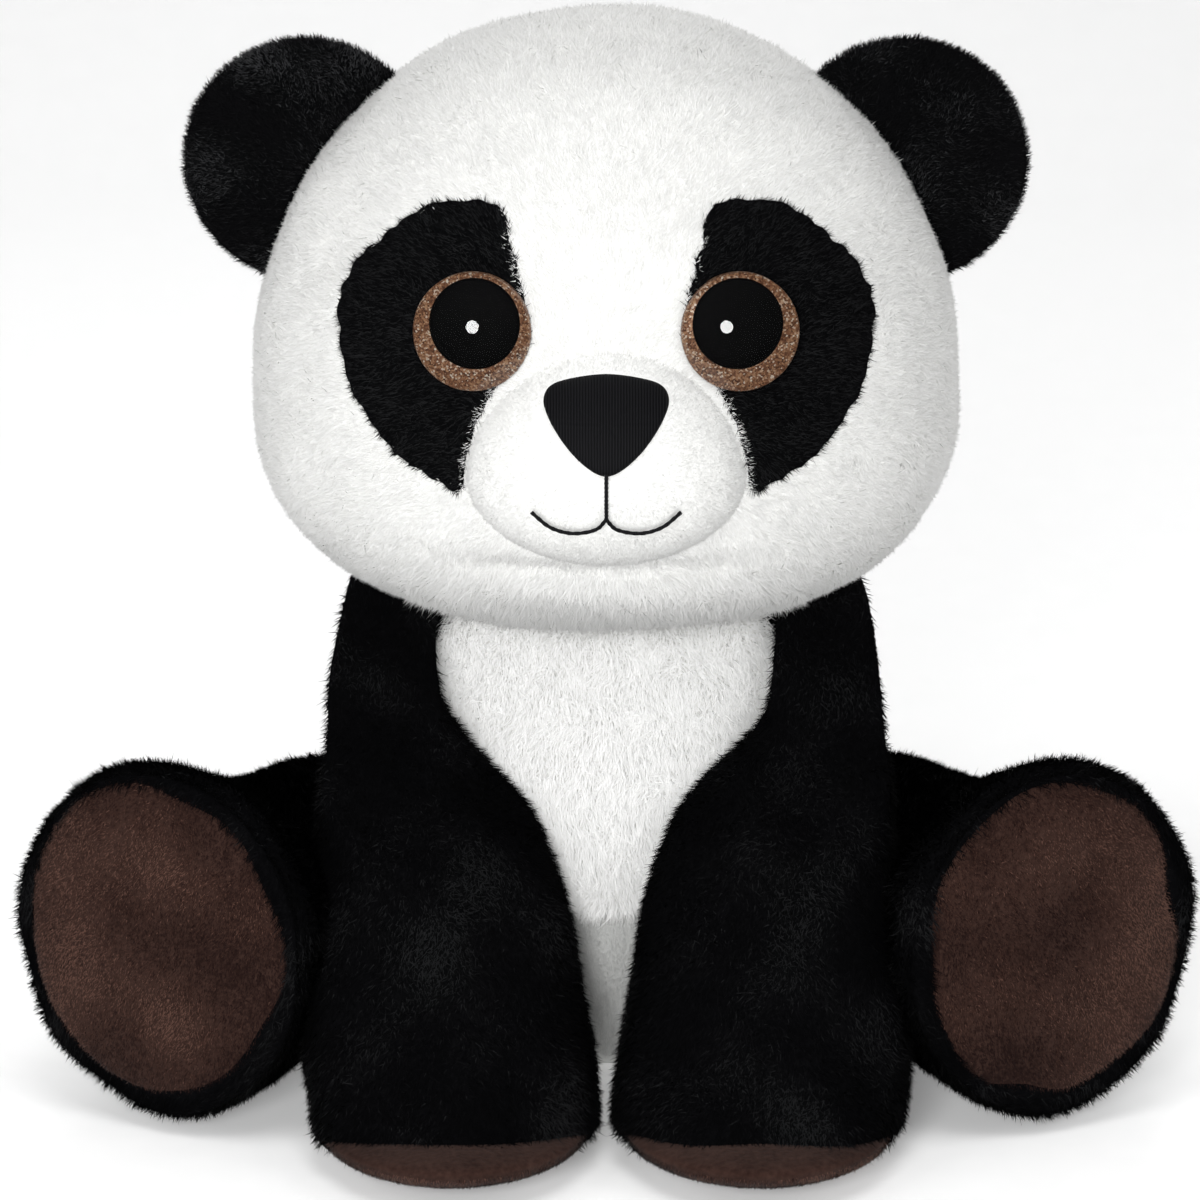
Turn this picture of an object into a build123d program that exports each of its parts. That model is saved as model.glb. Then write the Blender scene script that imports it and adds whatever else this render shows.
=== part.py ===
from build123d import *
import os

# Sitting plush panda. Millimetres, +Z up. The toy looks towards -Y and its own left is +X.
# The origin is on the floor under the middle of the toy's overall length and width.

SIDES = (("left", 1), ("right", -1))

# ---- driving dimensions, measured from the middle plane of the toy and from the floor ----
CLOTH = 2.5  # knitted backing and its short pile, as one layer
JOINT_GAP = 1.0  # room kept between bodies that move against each other
FORWARD_SHIFT = 25  # brings the middle of the toy's length over the origin

HEAD_CENTRE = (0, -8, 268)
HEAD_HALF_WIDTH = 119
HEAD_RADIUS = 102
HEAD_GAP = 2.5  # room between the head and the ears that fold on it
MUZZLE_CENTRE = (0, -91, 242)
MUZZLE_HALF_WIDTH = 48
MUZZLE_RADIUS = 40
THREAD_RISE = 1.2  # how far the nose and mouth threads stand up from the muzzle
CHIN_TOP = 198  # the long-piled chin band lies below this height

EAR_CENTRE = (100, 0, 319)
EAR_RADIUS = 41
EAR_HALF_THICKNESS = 6

EYE_SPACING = 86
EYE_HEIGHT = 280
EYE_RADIUS = 19.5
EYE_TURN_OUT = 8  # degrees each eye looks outwards
EYE_SEAT_Y = -98  # how far forward the eye's flat back sits
PUPIL_RADIUS = 14.5
PUPIL_RISE = 1.5

TORSO_Y = 14
SEAT_PANEL_HEIGHT = 14
TAIL_RADIUS = 15.5
NECK_CENTRE = (0, 6, 164.5)
NECK_BALL_RADIUS = 24

SHOULDER = (60, -16, 138)
WRIST = (50.5, -102, 13)
ARM_RADII = (28, 38, 45.5)  # shoulder, elbow, wrist
PAW_CENTRE = (50.5, -107, 13)
PAW_RADIUS = 45
PAW_BULGE = 13

HIP = (84, 28, 56)
SOLE_CENTRE = (150, -90, 61)
LEG_RADII = (45, 51, 56.5)  # hip, shin, ankle
SOLE_RADIUS = 49
SOLE_BULGE = 7
HIP_PLANE = 80.5  # the legs stay outside this distance from the middle plane
KNEE_PLANE = 99.5  # and, beside the arms, outside this one
HIP_FRONT_Y = -5


# ---- shapes shared by many pieces ----
def block(x_range, y_range, z_range):
    low = (x_range[0], y_range[0], z_range[0])
    size = (x_range[1] - low[0], y_range[1] - low[1], z_range[1] - low[2])
    return Pos(*low) * Box(*size, align=(Align.MIN, Align.MIN, Align.MIN))


def half_oval(across, along):
    """Half an ellipse, from the bottom of the turning axis round to its top."""
    return EllipticalCenterArc((0, 0), across, along, start_angle=-90, arc_size=180)


def egg(across, along):
    """A solid oval body turned about Y."""
    return revolve(make_face(half_oval(across, along) + Line((0, along), (0, -along))), Axis.Y)


def egg_skin(across, along, thickness):
    """The layer of that thickness just inside an oval body."""
    outer = half_oval(across, along)
    inner = half_oval(across - thickness, along - thickness)
    top = Line((0, along), (0, along - thickness))
    bottom = Line((0, -along), (0, thickness - along))
    return revolve(make_face(outer + top + inner + bottom), Axis.Y)


def disc(radius, thickness):
    return Cylinder(radius, thickness, align=(Align.CENTER, Align.CENTER, Align.MIN))


def bulging_pad(rim_radius, bulge):
    """A domed cloth pad on its flat filling, rising along +Z."""
    ball_radius = (rim_radius**2 + bulge**2) / (2 * bulge)
    low = Pos(0, 0, bulge - ball_radius)
    above = disc(2 * rim_radius, 2 * bulge)
    dome = low * Sphere(ball_radius) & above
    filling = low * Sphere(ball_radius - CLOTH) & above
    return dome - filling, filling


def sideways(solid, centre):
    """Lays a body turned about Y along the toy's width."""
    return Pos(*centre) * Rot(0, 0, 90) * solid


def front_prism(flat_shape, back, depth=160):
    """A flat shape in the XZ plane, carried forwards from a depth."""
    return Pos(0, back, 0) * extrude(Plane.XZ * flat_shape, amount=depth)


def limb_frame(start, end):
    """A limb's own frame: +Z from its root to its end."""
    return Plane(origin=start, z_dir=Vector(*end) - Vector(*start))


# ---- head ----
NECK_SOCKET = Pos(*NECK_CENTRE) * Sphere(NECK_BALL_RADIUS + 0.5)
HEAD_INSIDE = sideways(egg(HEAD_RADIUS - CLOTH, HEAD_HALF_WIDTH - CLOTH), HEAD_CENTRE)
HEAD_CLEARANCE = sideways(egg(HEAD_RADIUS + HEAD_GAP, HEAD_HALF_WIDTH + HEAD_GAP), HEAD_CENTRE)


def eye_frame(side):
    """+Z looks out of the face, +Y is up."""
    looks = Vector(0, -1, 0).rotate(Axis.Z, side * EYE_TURN_OUT)
    right = Vector(1, 0, 0).rotate(Axis.Z, side * EYE_TURN_OUT)
    return Plane(origin=(side * EYE_SPACING / 2, EYE_SEAT_Y, EYE_HEIGHT), x_dir=right, z_dir=looks)


def eye_pieces(side):
    """One safety eye: clear dome, glitter disc, black pupil, ribbed post and lock washer."""
    dome_height = 9
    disc_thickness = 1.0
    pupil_thickness = 0.6
    dome_ball = (EYE_RADIUS**2 + dome_height**2) / (2 * dome_height)
    glitter = disc(EYE_RADIUS - 1.7, disc_thickness)
    pupil = Pos(0, PUPIL_RISE, disc_thickness) * disc(PUPIL_RADIUS, pupil_thickness)
    dome = Pos(0, 0, dome_height - dome_ball) * Sphere(dome_ball) & disc(30, 20)
    post = Pos(0, 0, -14) * disc(3, 14)
    for groove in range(4):
        post -= Pos(0, 0, -12 + 1.6 * groove) * (disc(4, 0.8) - disc(2.6, 0.8))
    washer = Pos(0, 0, -5) * (disc(9, 1.4) - disc(3, 1.4))
    pieces = {
        "eye_clear_dome": dome - glitter - pupil,
        "eye_glitter_disc": glitter,
        "eye_pupil": pupil,
        "eye_ribbed_post": post,
        "eye_lock_washer": washer,
    }
    return {name: eye_frame(side) * solid for name, solid in pieces.items()}


def eye_recess(side):
    """The room one eye takes out of the cloth and the stuffing."""
    post_room = Pos(0, 0, -14) * disc(3, 14)
    washer_room = Pos(0, 0, -5) * disc(9, 1.4)
    return eye_frame(side) * (disc(EYE_RADIUS, 20) + post_room + washer_room)


def eye_patch_outline(side):
    """A bean: high beside the nose, low and broad on the cheek."""
    upper = [(33, 314), (42, 320), (60, 316), (79, 303), (90, 281)]
    lower = [(85, 257), (70, 239), (50, 227), (42, 249), (27, 271), (27, 293)]
    bean = upper + lower
    return make_face(Spline([(side * x, z) for x, z in bean], periodic=True))


def nose_outline():
    """A rounded triangle, wide at the top."""
    top = ThreePointArc((-20, 264), (0, 269), (20, 264))
    right = ThreePointArc((20, 264), (13, 250), (0, 240))
    left = ThreePointArc((0, 240), (-13, 250), (-20, 264))
    return make_face(top + right + left)


def mouth_outline():
    """One thread's width along the line under the nose and the two smile curves."""
    thread = 1.5
    drop = trace(Line((0, 239.5), (0, 226)), thread)
    right = trace(ThreePointArc((0, 226), (13, 220.5), (24, 227)), thread)
    left = trace(ThreePointArc((0, 226), (-13, 220.5), (-24, 227)), thread)
    return drop + right + left


def head_pieces():
    cloth = sideways(egg_skin(HEAD_RADIUS, HEAD_HALF_WIDTH, CLOTH), HEAD_CENTRE) - NECK_SOCKET
    muzzle = sideways(egg(MUZZLE_RADIUS, MUZZLE_HALF_WIDTH), MUZZLE_CENTRE)
    muzzle_skin = sideways(egg_skin(MUZZLE_RADIUS, MUZZLE_HALF_WIDTH, CLOTH), MUZZLE_CENTRE)
    muzzle_core = sideways(egg(MUZZLE_RADIUS - CLOTH, MUZZLE_HALF_WIDTH - CLOTH), MUZZLE_CENTRE)
    raised = sideways(egg_skin(MUZZLE_RADIUS + THREAD_RISE, MUZZLE_HALF_WIDTH + THREAD_RISE, THREAD_RISE), MUZZLE_CENTRE)
    face_side = block((-150, 150), (-150, 0), (100, 400))
    chin_zone = block((-72, 72), (-150, -50), (100, CHIN_TOP))
    face = (cloth & face_side) - muzzle
    stuffing = HEAD_INSIDE - NECK_SOCKET
    both_eyes = [eye_recess(side) for _, side in SIDES]
    pieces = {
        "head_back_cover": cloth - face_side,
        "chin_band": face & chin_zone,
        "muzzle_cover": muzzle_skin - HEAD_INSIDE - both_eyes,
        "muzzle_stuffing": muzzle_core - HEAD_INSIDE - both_eyes,
        "nose_embroidered": raised & front_prism(nose_outline(), back=-95),
        "mouth_thread": raised & front_prism(mouth_outline(), back=-95),
    }
    face -= chin_zone
    for name, side in SIDES:
        patch_zone = front_prism(eye_patch_outline(side), back=-30)
        recess = eye_recess(side)
        pieces[f"{name}_eye_patch"] = (face & patch_zone) - recess
        face = face - patch_zone - recess
        stuffing -= recess
        for piece, solid in eye_pieces(side).items():
            pieces[f"{name}_{piece}"] = solid
    pieces["face_cover"] = face
    pieces["head_stuffing"] = Compound(children=[stuffing & face_side, stuffing - face_side])
    return pieces


def ear_pieces(side):
    """Two domed cloth layers over thin wadding, cut to the curve of the head."""
    place = Pos(side * EAR_CENTRE[0], EAR_CENTRE[1], EAR_CENTRE[2])
    facing_front = place * Rot(90, 0, 0)
    facing_back = place * Rot(-90, 0, 0)
    dome, filling = bulging_pad(EAR_RADIUS, EAR_HALF_THICKNESS)
    return {
        "ear_front": facing_front * dome - HEAD_CLEARANCE,
        "ear_back": facing_back * dome - HEAD_CLEARANCE,
        "ear_front_wadding": facing_front * filling - HEAD_CLEARANCE,
        "ear_back_wadding": facing_back * filling - HEAD_CLEARANCE,
    }


# ---- torso ----
def torso_outline(shrink):
    """The pear's edge from the seat up to the neck, drawn inwards or outwards by one amount."""
    seat_edge = (50 - shrink, shrink)
    widest = (76 - shrink, 52)
    shoulder = (46 - 0.7 * shrink, 144 - 0.7 * shrink)
    summit = (0, 161.5 - shrink)
    lower = ThreePointArc(seat_edge, (70 - 0.8 * shrink, 18 + 0.6 * shrink), widest)
    upper = ThreePointArc(widest, (69 - shrink, 104 - 0.2 * shrink), shoulder)
    crown = ThreePointArc(shoulder, (27 - 0.4 * shrink, 156.5 - 0.9 * shrink), summit)
    return lower, upper, crown


def torso_solid(shrink):
    lower, upper, crown = torso_outline(shrink)
    axis_line = Polyline(crown @ 1, (0, shrink), lower @ 0)
    return Pos(0, TORSO_Y, 0) * revolve(Plane.XZ * make_face(lower + upper + crown + axis_line), Axis.Z)


def torso_layer(outer_shrink, inner_shrink):
    """The cloth between two sizes of the same pear, floor included."""
    outer = torso_outline(outer_shrink)
    inner = torso_outline(inner_shrink)
    summit_step = Line(outer[2] @ 1, inner[2] @ 1)
    floor = Polyline(inner[0] @ 0, (0, inner_shrink), (0, outer_shrink), outer[0] @ 0)
    edges = outer[0] + outer[1] + outer[2] + summit_step + inner[0] + inner[1] + inner[2] + floor
    return Pos(0, TORSO_Y, 0) * revolve(Plane.XZ * make_face(edges), Axis.Z)


def belly_outline():
    """A shield: broad under the chin, drawn in at the waist, narrow at the bottom."""
    half = [(44, 165), (52, 130), (44, 108), (27, 86), (15, 68)]
    points = half + [(0, 62)] + [(-x, z) for x, z in reversed(half)]
    return make_face(Spline(points) + Line(points[-1], points[0]))


def torso_pieces():
    cloth = torso_layer(0, CLOTH) - NECK_SOCKET
    seat_zone = block((-120, 120), (-120, 120), (-1, SEAT_PANEL_HEIGHT))
    belly_zone = front_prism(belly_outline(), back=0)
    lower_zone = block((-46, 46), (-120, 0), (SEAT_PANEL_HEIGHT, 100))
    wall = cloth - seat_zone
    bag = disc(42, 26)
    pellet_bag = Pos(0, TORSO_Y, 10) * fillet(bag.edges(), 10)
    seam_layer = torso_layer(-0.9, 0)
    stitches = [
        seam_layer & block((-2.5, 2.5), (20, 120), (height, height + 1.3)) for height in range(66, 112, 5)
    ]
    tail_centre = (0, TORSO_Y + 78, 42)
    torso = torso_solid(0)
    tail = Pos(*tail_centre) * Sphere(TAIL_RADIUS) - torso
    tail_core = Pos(*tail_centre) * Sphere(TAIL_RADIUS - CLOTH) - torso
    label = block((-34.5, -33.5), (TORSO_Y + 40, TORSO_Y + 86), (16, 34)) - torso
    return {
        "torso_stuffing": torso_solid(CLOTH) - NECK_SOCKET - pellet_bag,
        "seat_pellet_bag": pellet_bag,
        "seat_panel": cloth & seat_zone,
        "belly_panel": wall & belly_zone,
        "lower_front_panel": (wall & lower_zone) - belly_zone,
        "torso_left_panel": (wall & block((0, 120), (-120, 120), (0, 200))) - belly_zone - lower_zone,
        "torso_right_panel": (wall & block((-120, 0), (-120, 120), (0, 200))) - belly_zone - lower_zone,
        "closing_seam_thread": Compound(children=stitches),
        "care_label": label,
        "tail_cover": tail - tail_core,
        "tail_stuffing": tail_core,
    }


def neck_pieces():
    """A firm ball of stuffing that the head nods and turns on."""
    return {"neck_stuffing_ball": Pos(*NECK_CENTRE) * Sphere(NECK_BALL_RADIUS)}


# ---- arms ----
TORSO_CLEARANCE = torso_solid(-JOINT_GAP)


def arm_outline(shrink):
    """The arm's edge from the shoulder's round end to well past the wrist."""
    shoulder, elbow, wrist = [radius - shrink for radius in ARM_RADII]
    cap = ThreePointArc((0, -shoulder), (0.707 * shoulder, -0.707 * shoulder), (shoulder, 0))
    sleeve = ThreePointArc((shoulder, 0), (elbow, 75), (wrist, 150))
    return cap, sleeve, Line((wrist, 150), (wrist, 220))


def arm_pieces(side):
    frame = limb_frame(SHOULDER, WRIST)
    outer = arm_outline(0)
    inner = arm_outline(CLOTH)
    steps = Line(outer[0] @ 0, inner[0] @ 0) + Line(outer[2] @ 1, inner[2] @ 1)
    ring = make_face(outer[0] + outer[1] + outer[2] + inner[0] + inner[1] + inner[2] + steps)
    core_line = Polyline(inner[2] @ 1, (0, 220), inner[0] @ 0)
    core_face = make_face(inner[0] + inner[1] + inner[2] + core_line)
    above_paw = block((0, 150), (-220, 60), (PAW_CENTRE[2], 220))
    cloth = frame * revolve(Plane.XZ * ring, Axis.Z) & above_paw
    core = frame * revolve(Plane.XZ * core_face, Axis.Z) & above_paw
    facing_floor = Pos(*PAW_CENTRE) * Rot(180, 0, 0)
    pad_cloth, pad_core = bulging_pad(PAW_RADIUS, PAW_BULGE)
    pieces = {
        "arm_cover": cloth - TORSO_CLEARANCE,
        "arm_stuffing": core - TORSO_CLEARANCE,
        "paw_pad": facing_floor * pad_cloth,
        "paw_pad_stuffing": facing_floor * pad_core,
    }
    return on_side(pieces, side)


def on_side(left_pieces, side):
    if side > 0:
        return left_pieces
    return {name: mirror(solid, about=Plane.YZ) for name, solid in left_pieces.items()}


# ---- legs ----
def leg_outline(shrink, length):
    """The leg's edge from its round end behind the hip to the rim of the sole."""
    hip, shin, ankle = [radius - shrink for radius in LEG_RADII]
    cap = ThreePointArc((0, shrink - 34), (0.72 * hip, shrink - 24), (hip, 0))
    shank = ThreePointArc((hip, 0), (shin, 60), (ankle, length - 16))
    rim = ThreePointArc((ankle, length - 16), (ankle - 2.5, length - 6), (SOLE_RADIUS - shrink, length))
    return cap, shank, rim


def leg_pieces(side):
    frame = limb_frame(HIP, SOLE_CENTRE)
    length = (Vector(*SOLE_CENTRE) - Vector(*HIP)).length
    outer = leg_outline(0, length)
    inner = leg_outline(CLOTH, length)
    steps = Line(outer[0] @ 0, inner[0] @ 0) + Line(outer[2] @ 1, inner[2] @ 1)
    ring = make_face(outer[0] + outer[1] + outer[2] + inner[0] + inner[1] + inner[2] + steps)
    core_line = Polyline(inner[2] @ 1, (0, length), inner[0] @ 0)
    core_face = make_face(inner[0] + inner[1] + inner[2] + core_line)
    beside_arm = block((KNEE_PLANE, 300), (-300, HIP_FRONT_Y), (-20, 300))
    beside_torso = block((HIP_PLANE, 300), (HIP_FRONT_Y, 120), (-20, 300))
    cloth = frame * revolve(Plane.XZ * ring, Axis.Z)
    core = frame * revolve(Plane.XZ * core_face, Axis.Z)
    room = beside_arm + beside_torso
    sole_place = frame * Pos(0, 0, length)
    sole, sole_core = bulging_pad(SOLE_RADIUS, SOLE_BULGE)
    pieces = {
        "leg_cover": cloth & room,
        "leg_stuffing": core & room,
        "foot_pad": (sole_place * sole) & beside_arm,
        "foot_pad_stuffing": (sole_place * sole_core) & beside_arm,
    }
    return on_side(pieces, side)


# ---- all the pieces, by name ----
def all_pieces():
    pieces = {**torso_pieces(), **neck_pieces(), **head_pieces()}
    for name, side in SIDES:
        for build in (ear_pieces, arm_pieces, leg_pieces):
            for piece, solid in build(side).items():
                pieces[f"{name}_{piece}"] = solid
    return pieces


os.makedirs("parts", exist_ok=True)
for piece_name, piece_solid in all_pieces().items():
    export_step(Pos(0, FORWARD_SHIFT, 0) * piece_solid, f"parts/{piece_name}.step")
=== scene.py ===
import math

import bpy
import numpy as np
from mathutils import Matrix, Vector
from mathutils.bvhtree import BVHTree


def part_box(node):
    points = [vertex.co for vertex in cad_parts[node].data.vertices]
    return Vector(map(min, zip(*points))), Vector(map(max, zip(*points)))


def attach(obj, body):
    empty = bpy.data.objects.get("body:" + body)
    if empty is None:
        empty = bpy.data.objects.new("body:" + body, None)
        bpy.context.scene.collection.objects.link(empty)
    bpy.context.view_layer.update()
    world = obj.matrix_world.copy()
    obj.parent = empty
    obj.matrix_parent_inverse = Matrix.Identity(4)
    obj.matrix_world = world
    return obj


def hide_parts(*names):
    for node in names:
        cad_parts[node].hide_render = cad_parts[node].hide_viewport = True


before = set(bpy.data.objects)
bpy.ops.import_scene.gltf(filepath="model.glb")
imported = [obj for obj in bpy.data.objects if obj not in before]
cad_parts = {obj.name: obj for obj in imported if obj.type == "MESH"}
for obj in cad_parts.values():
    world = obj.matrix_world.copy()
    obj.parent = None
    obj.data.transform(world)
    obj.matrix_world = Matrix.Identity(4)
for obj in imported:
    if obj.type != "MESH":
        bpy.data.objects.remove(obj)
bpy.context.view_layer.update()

# Looks of the sitting plush panda. Shapes are worked out in millimetres in the CAD frame.
MM = 0.001
SIDES = (("left", 1), ("right", -1))
FLOOR_GAP = 0.2  # how far the lowest strands stay above the floor
PILE_SHARE = 1.0  # fewer strands while trying things


def box_mm(*nodes):
    """The low and high corners of some CAD nodes together, in millimetres."""
    corners = [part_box(node) for node in nodes]
    low = np.min([np.array(low) for low, _ in corners], axis=0)
    high = np.max([np.array(high) for _, high in corners], axis=0)
    return low / MM, high / MM


# ---- places taken from the CAD ----
head_low, head_high = box_mm("face_cover", "head_back_cover")
HEAD_MID = (head_low + head_high) / 2
HEAD_TOP = head_high[2]
HEAD_BOTTOM = head_low[2]
HEAD_HALF_WIDTH = (head_high[0] - head_low[0]) / 2
HEAD_HALF_DEPTH = (head_high[1] - head_low[1]) / 2
muzzle_low, muzzle_high = box_mm("muzzle_cover")
torso_low, torso_high = box_mm("torso_left_panel", "torso_right_panel")
TORSO_MID_Y = (torso_low[1] + torso_high[1]) / 2
EYE_CENTRES = {side: sum(box_mm(f"{name}_eye_glitter_disc")) / 2 for name, side in SIDES}


# ---- meshes from grids of points ----
def grid_faces(rows, columns):
    """Quads of a grid whose columns join up, as four point numbers each."""
    row, column = np.meshgrid(np.arange(rows - 1), np.arange(columns), indexing="ij")
    following = (column + 1) % columns
    here, below = row * columns, (row + 1) * columns
    corners = [here + column, here + following, below + following, below + column]
    return np.stack(corners, axis=-1).reshape(-1, 4)


class Surface:
    """A closed form as points, quads and outward directions, in millimetres."""

    def __init__(self, points, faces):
        self.points = points
        self.faces = faces
        self.normals = point_normals(points, faces)


def point_normals(points, faces):
    """Unit directions straight out of a surface at each of its points."""
    a, b, c, d = (points[faces[:, i]] for i in range(4))
    normal = np.cross(c - a, d - b)
    total = np.zeros_like(points)
    for i in range(4):
        np.add.at(total, faces[:, i], normal)
    return total / np.maximum(np.linalg.norm(total, axis=1, keepdims=True), 1e-9)


def globe_directions(rows, columns):
    """Unit directions from the top pole to the bottom one."""
    polar = np.linspace(0.002, math.pi - 0.002, rows)
    around = np.linspace(0, 2 * math.pi, columns, endpoint=False)
    polar, around = np.meshgrid(polar, around, indexing="ij")
    level = np.sin(polar)
    return np.stack([level * np.cos(around), level * np.sin(around), np.cos(polar)], axis=-1)


def outward(points, faces):
    """The same surface, with its faces turned to look away from the middle."""
    surface = Surface(points, faces)
    if np.sum((points - points.mean(0)) * surface.normals) < 0:
        surface = Surface(points, faces[:, ::-1])
    return surface


def smooth_between(x, knots, values):
    """A smooth curve through some values, without overshoot."""
    knots = np.asarray(knots, float)
    values = np.asarray(values, float)
    slopes = np.gradient(values, knots)
    i = np.clip(np.searchsorted(knots, x) - 1, 0, len(knots) - 2)
    h = knots[i + 1] - knots[i]
    t = np.clip((x - knots[i]) / h, 0, 1)
    a = (1 + 2 * t) * (1 - t) ** 2 * values[i] + t * (1 - t) ** 2 * h * slopes[i]
    return a + t * t * (3 - 2 * t) * values[i + 1] + t * t * (t - 1) * h * slopes[i + 1]


def waves(points, scale, seed):
    """Soft bumps from -1 to 1 with features about that many millimetres across."""
    count = 7
    generator = np.random.default_rng(seed)
    total = np.zeros(len(points))
    for _ in range(count):
        direction = generator.normal(size=3)
        direction *= 2 * math.pi / (scale * np.linalg.norm(direction))
        total += np.sin(points @ direction + generator.uniform(0, 2 * math.pi))
    return total / (count / 2)


# ---- forms ----
CHEEK_SHARE = 0.38  # how high up the head its widest line is
DOME_POWER = 2.05  # near 2, an ellipse
CHEEK_POWER = 2.7  # squarer, for full cheeks
CREASE_HEIGHT = 199  # the fold where the chin band is gathered under the snout
CREASE_DEPTH = 4
CREASE_SPREAD = 5
CREASE_HALF_WIDTH = 46
MUZZLE_CENTRE = np.array([0, muzzle_low[1] + 42, (muzzle_low[2] + muzzle_high[2]) / 2 - 8])
MUZZLE_RADII = np.array([47.0, 41.0, 31.0])
MUZZLE_ABOVE = 16  # how much further the snout reaches above its middle than below it
LEG_TURN = math.radians(24)
SOLE_HEIGHT = 67
ARM_EDGE = 96  # the leg's inner side lies against the arm here
EAR_RADIUS = 41.5
EAR_HALF_DEPTH = 9
EAR_CUP = 6  # how far the front of the ear is hollowed
EAR_RIM = 3  # how far the rim curls, forwards in front and a little backwards behind


def head_form():
    """A broad egg with full cheeks: domed above its widest line and squarer below it."""
    rows, columns = 150, 180
    directions = globe_directions(rows, columns)
    cheek_line = HEAD_BOTTOM + CHEEK_SHARE * (HEAD_TOP - HEAD_BOTTOM)
    above = directions[..., 2] > 0
    height = np.where(above, HEAD_TOP - 1 - cheek_line, cheek_line - HEAD_BOTTOM + 2)
    power = np.where(above, DOME_POWER, CHEEK_POWER)
    side_share = directions[..., 0] / (HEAD_HALF_WIDTH + 0.5)
    front_share = directions[..., 1] / (HEAD_HALF_DEPTH - 2)
    across = np.hypot(side_share, front_share)
    reach = (across**power + (np.abs(directions[..., 2]) / height) ** power) ** (-1 / power)
    points = (directions * reach[..., None]).reshape(-1, 3) + np.array([0, HEAD_MID[1], cheek_line])
    surface = outward(points, grid_faces(rows, columns))
    from_fold = (points[:, 2] - CREASE_HEIGHT) / CREASE_SPREAD
    from_middle = points[:, 0] / CREASE_HALF_WIDTH
    crease = CREASE_DEPTH * np.exp(-(from_fold**2) - from_middle**4)
    crease *= points[:, 1] < HEAD_MID[1]
    points = points + surface.normals * (0.9 * waves(points, 48, 3) - crease)[:, None]
    return outward(points, grid_faces(rows, columns))


def muzzle_form():
    """A smooth rounded snout, broad and low, narrowing towards the brow."""
    rows, columns = 80, 100
    directions = globe_directions(rows, columns).reshape(-1, 3)
    points = directions * MUZZLE_RADII
    above = np.clip(directions[:, 2], 0, 1)
    points[:, 2] += MUZZLE_ABOVE * above
    points[:, 0] *= 1 - 0.05 * above
    points[:, 1] += 5 * above**2
    return outward(points + MUZZLE_CENTRE, grid_faces(rows, columns))


def torso_form():
    """A pear that sits flat, with shoulders under the head."""
    rows, columns = 90, 120
    heights = [0, 4, 16, 52, 104, 140, 158, 168]
    widths = [46, 58, 68, 76, 76, 72, 62, 4]
    depths = [46, 58, 68, 75, 67, 52, 40, 4]
    level = np.linspace(0, 1, rows)
    knots = np.linspace(0, 1, len(heights))
    z = smooth_between(level, knots, heights)
    half_width = smooth_between(level, knots, widths)
    half_depth = smooth_between(level, knots, depths)
    around = np.linspace(0, 2 * math.pi, columns, endpoint=False)
    points = np.stack(
        [
            half_width[:, None] * np.cos(around),
            TORSO_MID_Y + half_depth[:, None] * np.sin(around),
            np.repeat(z[:, None], columns, axis=1),
        ],
        axis=-1,
    ).reshape(-1, 3)
    points[:, 1] += waves(points, 60, 5)
    return outward(points, grid_faces(rows, columns))


def limb_form(stations, rows=110, columns=88):
    """Oval rings along a limb: middle, first half-axis, second half-axis, all as points."""
    knots = np.linspace(0, 1, len(stations))
    level = np.linspace(0, 1, rows)
    stations = np.array(stations)

    def curve(part):
        along = [smooth_between(level, knots, stations[:, part, axis]) for axis in range(3)]
        return np.stack(along, -1)[:, None]

    middle, first, second = (curve(part) for part in range(3))
    around = np.linspace(0, 2 * math.pi, columns, endpoint=False)[:, None]
    ring = middle + first * np.cos(around) + second * np.sin(around)
    return outward(ring.reshape(-1, 3), grid_faces(rows, columns))


def arm_form(side):
    """From a narrow shoulder down to a broad paw that stands on the floor."""
    paw_low, paw_high = box_mm("left_paw_pad")
    paw_y = (paw_low[1] + paw_high[1]) / 2
    # side, forwards from the paw, height, tilt in degrees, half width, half thickness
    rows = [
        (76, 102, 171, 60, 5, 6),
        (76, 97, 165, 56, 13, 19),
        (76, 89, 153, 50, 17, 26),
        (76, 77, 138, 44, 18.5, 29),
        (75, 66, 125, 38, 20.5, 31),
        (70, 54, 112, 32, 27, 33),
        (61.5, 46, 98, 28, 36, 36),
        (58, 38, 84, 25, 41.5, 38.5),
        (56.5, 26, 64, 20, 45, 41),
        (54, 15, 44, 14, 47, 43),
        (52, 3, 25, 7, 48.5, 45),
        (51, -2, 14.5, 3, 48, 45),
        (50.5, -3, 11, 0, 45.5, 42.5),
        (50.5, -3, 10.5, 0, 30, 27),
    ]
    stations = []
    for x, y, z, tilt, wide, thick in rows:
        lean = math.radians(tilt)
        across = np.array([wide, 0, 0])
        through = thick * np.array([0, math.cos(lean), math.sin(lean)])
        stations.append((np.array([x * side, paw_y + y, z]), across * side, through))
    surface = limb_form(stations)
    surface.points += surface.normals * waves(surface.points, 38, 11 + side)[:, None]
    return outward(surface.points, surface.faces)


def leg_axes(side):
    """The level directions along a leg towards its sole, and across it."""
    along = np.array([side * math.sin(LEG_TURN), -math.cos(LEG_TURN), 0])
    across = np.array([side * math.cos(LEG_TURN), math.sin(LEG_TURN), 0])
    return along, across


def sole_middle(side):
    low, high = box_mm("left_foot_pad")
    return np.array([side * (low[0] + high[0]) / 2, (low[1] + high[1]) / 2 + 1, SOLE_HEIGHT])


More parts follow.
